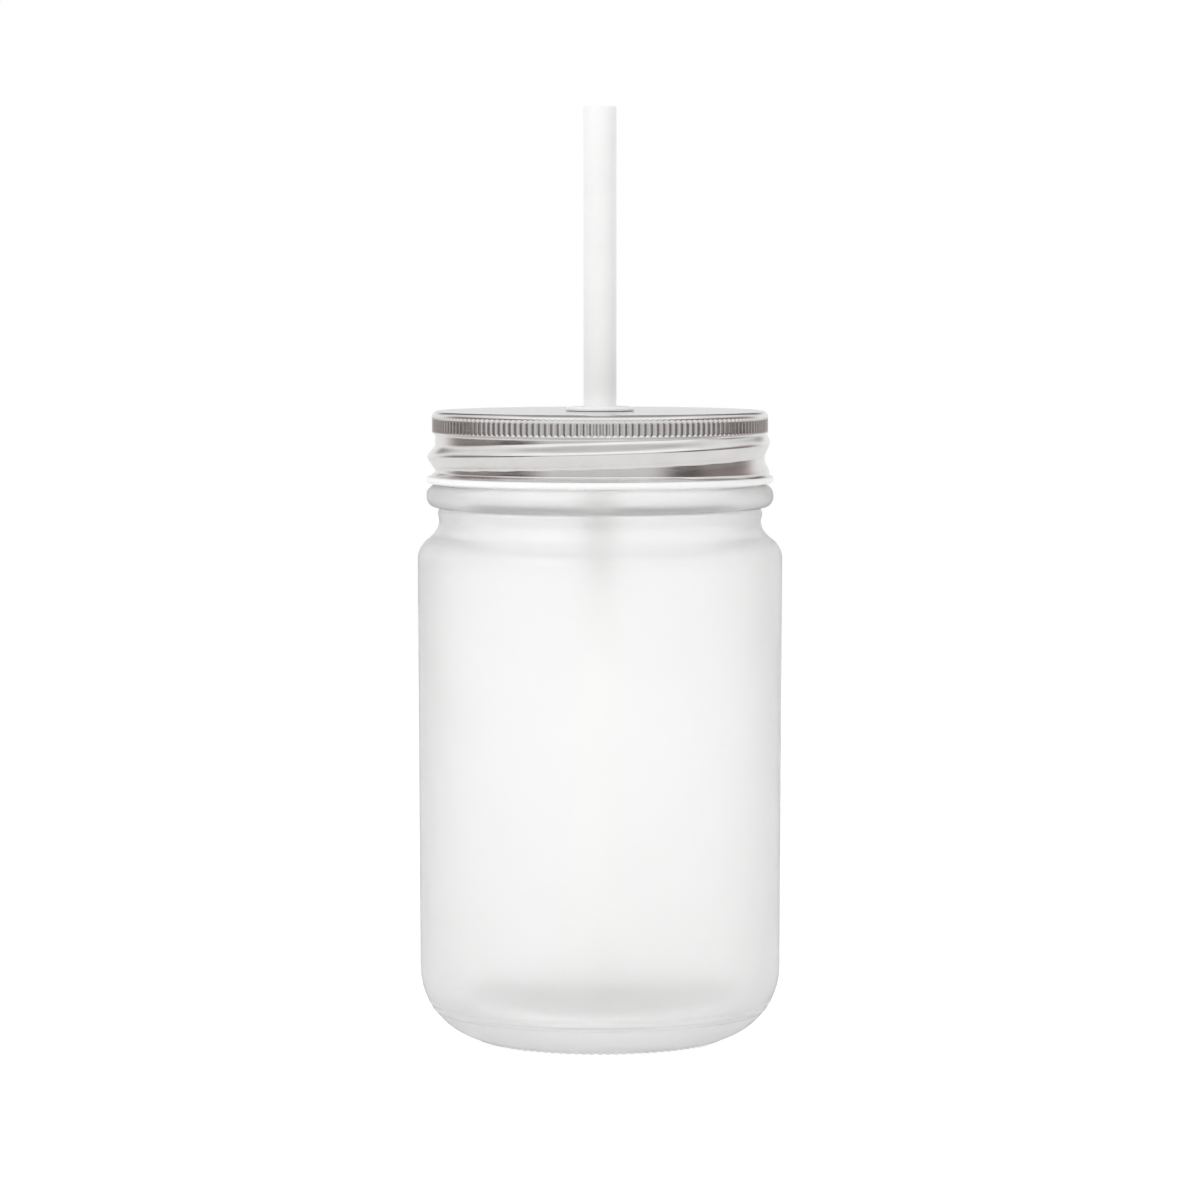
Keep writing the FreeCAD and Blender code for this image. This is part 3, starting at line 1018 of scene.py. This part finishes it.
@dataclass
class LidLiner:
    """Sealing ring under the top panel."""

    inner: float = 29.6
    outer: float = 32.8
    low: float = 128.5
    high: float = 129.49
    lathe: Lathe = Lathe(192, 1.0, 18.0)

    def build(self) -> bpy.types.Object:
        """Turn and dress the ring.

        Returns:
            The finished piece.
        """
        ring = [
            (self.inner, self.low, 0.3), (self.outer, self.low, 0.3),
            (self.outer, self.high, 0.1), (self.inner, self.high, 0.1),
        ]
        piece = close_piece("liner_ring", [self.lathe.skin(ring, closed=True)], [Compound().make()])
        return seat(piece, "lid", "lid_liner")


@dataclass
class StrawGrommet:
    """Soft ring gripping the edge of the straw hole."""

    bore: float = 3.46
    waist: float = 4.9
    flange: float = 7.1
    rest: float = 6.5
    low: float = 128.4
    groove_low: float = 129.4
    groove_high: float = 129.9
    top: float = 130.75
    lathe: Lathe = Lathe(168, 0.8, 12.0)

    def build(self) -> bpy.types.Object:
        """Turn and dress the ring.

        Returns:
            The finished piece.
        """
        ring = [
            (self.bore, self.low, 0.2), (self.rest, self.low, 0.45),
            (self.rest, self.groove_low, 0.2), (self.waist, self.groove_low, 0.1),
            (self.waist, self.groove_high, 0.1), (self.flange, self.groove_high, 0.15),
            (self.flange, self.top - 0.2, 0.42), (self.flange - 1.2, self.top, 0.9),
            (self.bore, self.top, 0.3),
        ]
        piece = close_piece("grommet_ring", [self.lathe.skin(ring, closed=True)], [Silicone().make()])
        return seat(piece, "grommet", "straw_grommet")


@dataclass
class Straw:
    """Straight tube with rounded ends."""

    outer: float = 3.4
    inner: float = 2.8
    low: float = 12.3
    length: float = 180.0
    edge: float = 0.22
    lathe: Lathe = Lathe(96, 6.0, 15.0)

    def build(self) -> bpy.types.Object:
        """Turn and dress the tube.

        Returns:
            The finished piece.
        """
        high = self.low + self.length
        ring = [
            (self.inner, self.low, self.edge), (self.outer, self.low, self.edge),
            (self.outer, high, self.edge), (self.inner, high, self.edge),
        ]
        piece = close_piece("straw_tube", [self.lathe.skin(ring, closed=True)], [StrawPlastic().make()])
        return seat(piece, "straw", "straw")


class Heading(Enum):
    """Parts of a direction into the surroundings."""

    ASIDE = "left or right"
    AHEAD = "away from the camera"
    UP = "up"
    TILT = "up or down"


@dataclass(frozen=True)
class Patch:
    """Soft patch of the surroundings, as metal mirrors it.

    Attributes:
        change: what it adds to the brightness.
        limits: parts of the direction, each with its value outside the patch and inside it.
    """

    change: float
    limits: Tuple[Tuple[Heading, float, float], ...]


SIDES = ((Heading.ASIDE, 0.56, 0.94), (Heading.TILT, 0.6, 0.25), (Heading.AHEAD, 0.88, 0.5))
FRONT = ((Heading.AHEAD, -0.1, -0.6), (Heading.TILT, 0.45, 0.15))
WINDOW = ((Heading.UP, 0.22, 0.42), (Heading.UP, 0.95, 0.80), (Heading.AHEAD, 0.05, -0.25))
GAP = ((Heading.UP, 0.2, 0.34), (Heading.AHEAD, -0.05, 0.2), (Heading.ASIDE, 0.62, 0.32))


@dataclass
class Studio:
    """Floor, surroundings, lamps and camera."""

    lens: float = 148.5
    eye: Tuple[float, float, float] = (0.0, -1.020, 0.1576)
    pitch: float = 86.25
    sensor: float = 36.0
    clip: Point = (0.05, 60.0)
    lamp_aim: Tuple[float, float, float] = (0.0, 0.0, 0.1)
    ambient: float = 0.66
    mirrored: float = 0.95
    darkest: float = 0.1
    patches: Tuple[Patch, ...] = (
        Patch(-0.68, SIDES), Patch(-0.30, FRONT), Patch(0.22, WINDOW), Patch(-0.82, GAP),
        Patch(0.41, (*GAP, (Heading.UP, 0.55, 0.8))), Patch(-0.26, ((Heading.UP, 0.82, 0.96),)),
    )
    seen_through: float = 1.068
    lit_through: float = 1.64
    side_tint: Colour = (1.0, 0.86, 0.84)
    floor_radius: float = 1.15
    floor_pale: Colour = (0.97, 0.97, 0.97)
    floor_shade: Colour = (0.96, 0.96, 0.96)
    floor_glow: Tuple[float, ...] = (0.0, 0.88, 1.1, 1.16)
    floor_share: Tuple[float, ...] = (0.0, 0.6, 0.85, 0.74)
    lamps: Tuple[Tuple[str, Tuple[float, float, float], float, float], ...] = (
        ("key", (-0.75, -0.75, 0.85), 1.1, 5.5),
        ("fill", (0.95, -0.55, 0.6), 1.0, 2.0),
        ("top", (0.0, 0.1, 1.3), 1.0, 3.0),
    )

    def surround(self) -> None:
        """White to the eye; in metal and glass a studio with dim sides and a bright ceiling."""
        world = bpy.data.worlds.new("studio_white")
        bpy.context.scene.world = world
        world.use_nodes = True
        tree = world.node_tree
        sums = Figures(tree)
        path = tree.nodes.new("ShaderNodeLightPath")
        place = tree.nodes.new("ShaderNodeTexCoord")
        split = tree.nodes.new("ShaderNodeSeparateXYZ")
        tree.links.new(place.outputs["Generated"], split.inputs["Vector"])
        heading = {
            Heading.ASIDE: sums.math("ABSOLUTE", split.outputs["X"]),
            Heading.AHEAD: split.outputs["Y"],
            Heading.UP: split.outputs["Z"],
            Heading.TILT: sums.math("ABSOLUTE", split.outputs["Z"]),
        }
        masks = [
            sums.product(*(sums.ramp(heading[way], start, end) for way, start, end in patch.limits))
            for patch in self.patches
        ]
        mirrored: Term = self.mirrored
        for mask, patch in zip(masks, self.patches):
            mirrored = sums.math("MULTIPLY_ADD", mask, patch.change, mirrored)
        mirrored = sums.math("MAXIMUM", mirrored, self.darkest)
        within = sums.math("GREATER_THAN", path.outputs["Diffuse Depth"], 0.5)
        through = sums.choose(within, self.seen_through, self.lit_through)
        shown = sums.choose(path.outputs[Seen.GLOSSY.value], self.ambient, mirrored)
        shown = sums.choose(path.outputs[Seen.THROUGH.value], shown, through)
        shown = sums.choose(path.outputs[Seen.CAMERA.value], shown, 1.0)
        tinted = sums.choose(path.outputs[Seen.GLOSSY.value], 0.0, masks[0])
        tinted = sums.choose(path.outputs[Seen.THROUGH.value], tinted, 0.0)
        slots, mixed = sums.blend(tinted)
        for slot, colour in zip(slots, ((1.0, 1.0, 1.0), self.side_tint)):
            slot.default_value = (*colour, 1.0)
        sky = tree.nodes["Background"]
        tree.links.new(mixed, sky.inputs["Color"])
        tree.links.new(shown, sky.inputs["Strength"])

    def disc(self, name: str, radius: float) -> bpy.types.Object:
        """Flat round sheet in the XY plane.

        Args:
            name: name of the object.
            radius: size in metres.

        Returns:
            The new object.
        """
        data = bpy.data.meshes.new(name)
        mesh = bmesh.new()
        bmesh.ops.create_circle(mesh, cap_ends=True, segments=96, radius=radius)
        mesh.to_mesh(data)
        mesh.free()
        sheet = bpy.data.objects.new(name, data)
        bpy.context.scene.collection.objects.link(sheet)
        return sheet

    def lay_floor(self) -> None:
        """White floor that keeps a faint shadow."""
        floor = self.disc("floor", self.floor_radius)
        recipe = Recipe("floor_paper")
        recipe.plain(Metallic=0.0, Roughness=1.0, Specular_IOR_Level=0.0)
        recipe.tint(recipe.grain(3.0).outputs["Value"], self.floor_pale, self.floor_shade)
        sums = recipe.sums
        path = recipe.add("ShaderNodeLightPath")
        glow = recipe.add("ShaderNodeEmission")
        share, strength = self.floor_share[0], self.floor_glow[0]
        for kind, part, level in zip(Seen, self.floor_share[1:], self.floor_glow[1:]):
            share = sums.choose(path.outputs[kind.value], share, part)
            strength = sums.choose(path.outputs[kind.value], strength, level)
        recipe.join(strength, glow.inputs["Strength"])
        mix = recipe.add("ShaderNodeMixShader")
        recipe.join(share, mix.inputs["Fac"])
        recipe.join(recipe.shader.outputs[0], mix.inputs[1])
        recipe.join(glow.outputs[0], mix.inputs[2])
        recipe.join(mix.outputs[0], recipe.tree.nodes["Material Output"].inputs["Surface"])
        floor.data.materials.append(recipe.material)

    def light(self) -> None:
        """Large soft lamps aimed at the jar."""
        for name, place, size, power in self.lamps:
            lamp = bpy.data.lights.new(name, "AREA")
            lamp.shape = "DISK"
            lamp.size = size
            lamp.energy = power
            holder = bpy.data.objects.new(name, lamp)
            holder.visible_glossy = False
            holder.location = place
            aim = Vector(self.lamp_aim) - Vector(place)
            holder.rotation_euler = aim.to_track_quat("-Z", "Y").to_euler()
            bpy.context.scene.collection.objects.link(holder)

    def camera(self) -> None:
        """Long lens a little above the lid."""
        data = bpy.data.cameras.new("camera")
        data.sensor_width = self.sensor
        data.lens = self.lens
        data.clip_start, data.clip_end = self.clip
        holder = bpy.data.objects.new("camera", data)
        holder.location = self.eye
        holder.rotation_euler = (math.radians(self.pitch), 0.0, 0.0)
        bpy.context.scene.collection.objects.link(holder)
        bpy.context.scene.camera = holder

    def build(self) -> None:
        """Set up the whole studio."""
        bpy.context.scene.view_settings.view_transform = "Standard"
        self.camera()
        self.surround()
        self.lay_floor()
        self.light()


def main() -> None:
    """Build the studio and every piece of the jar."""
    logging.basicConfig(level=logging.INFO, format="%(name)s: %(message)s")
    Studio().build()
    for maker in (GlassJar(), ScrewLid(), LidLiner(), StrawGrommet(), Straw()):
        maker.build()


if __name__ == "__main__":
    main()
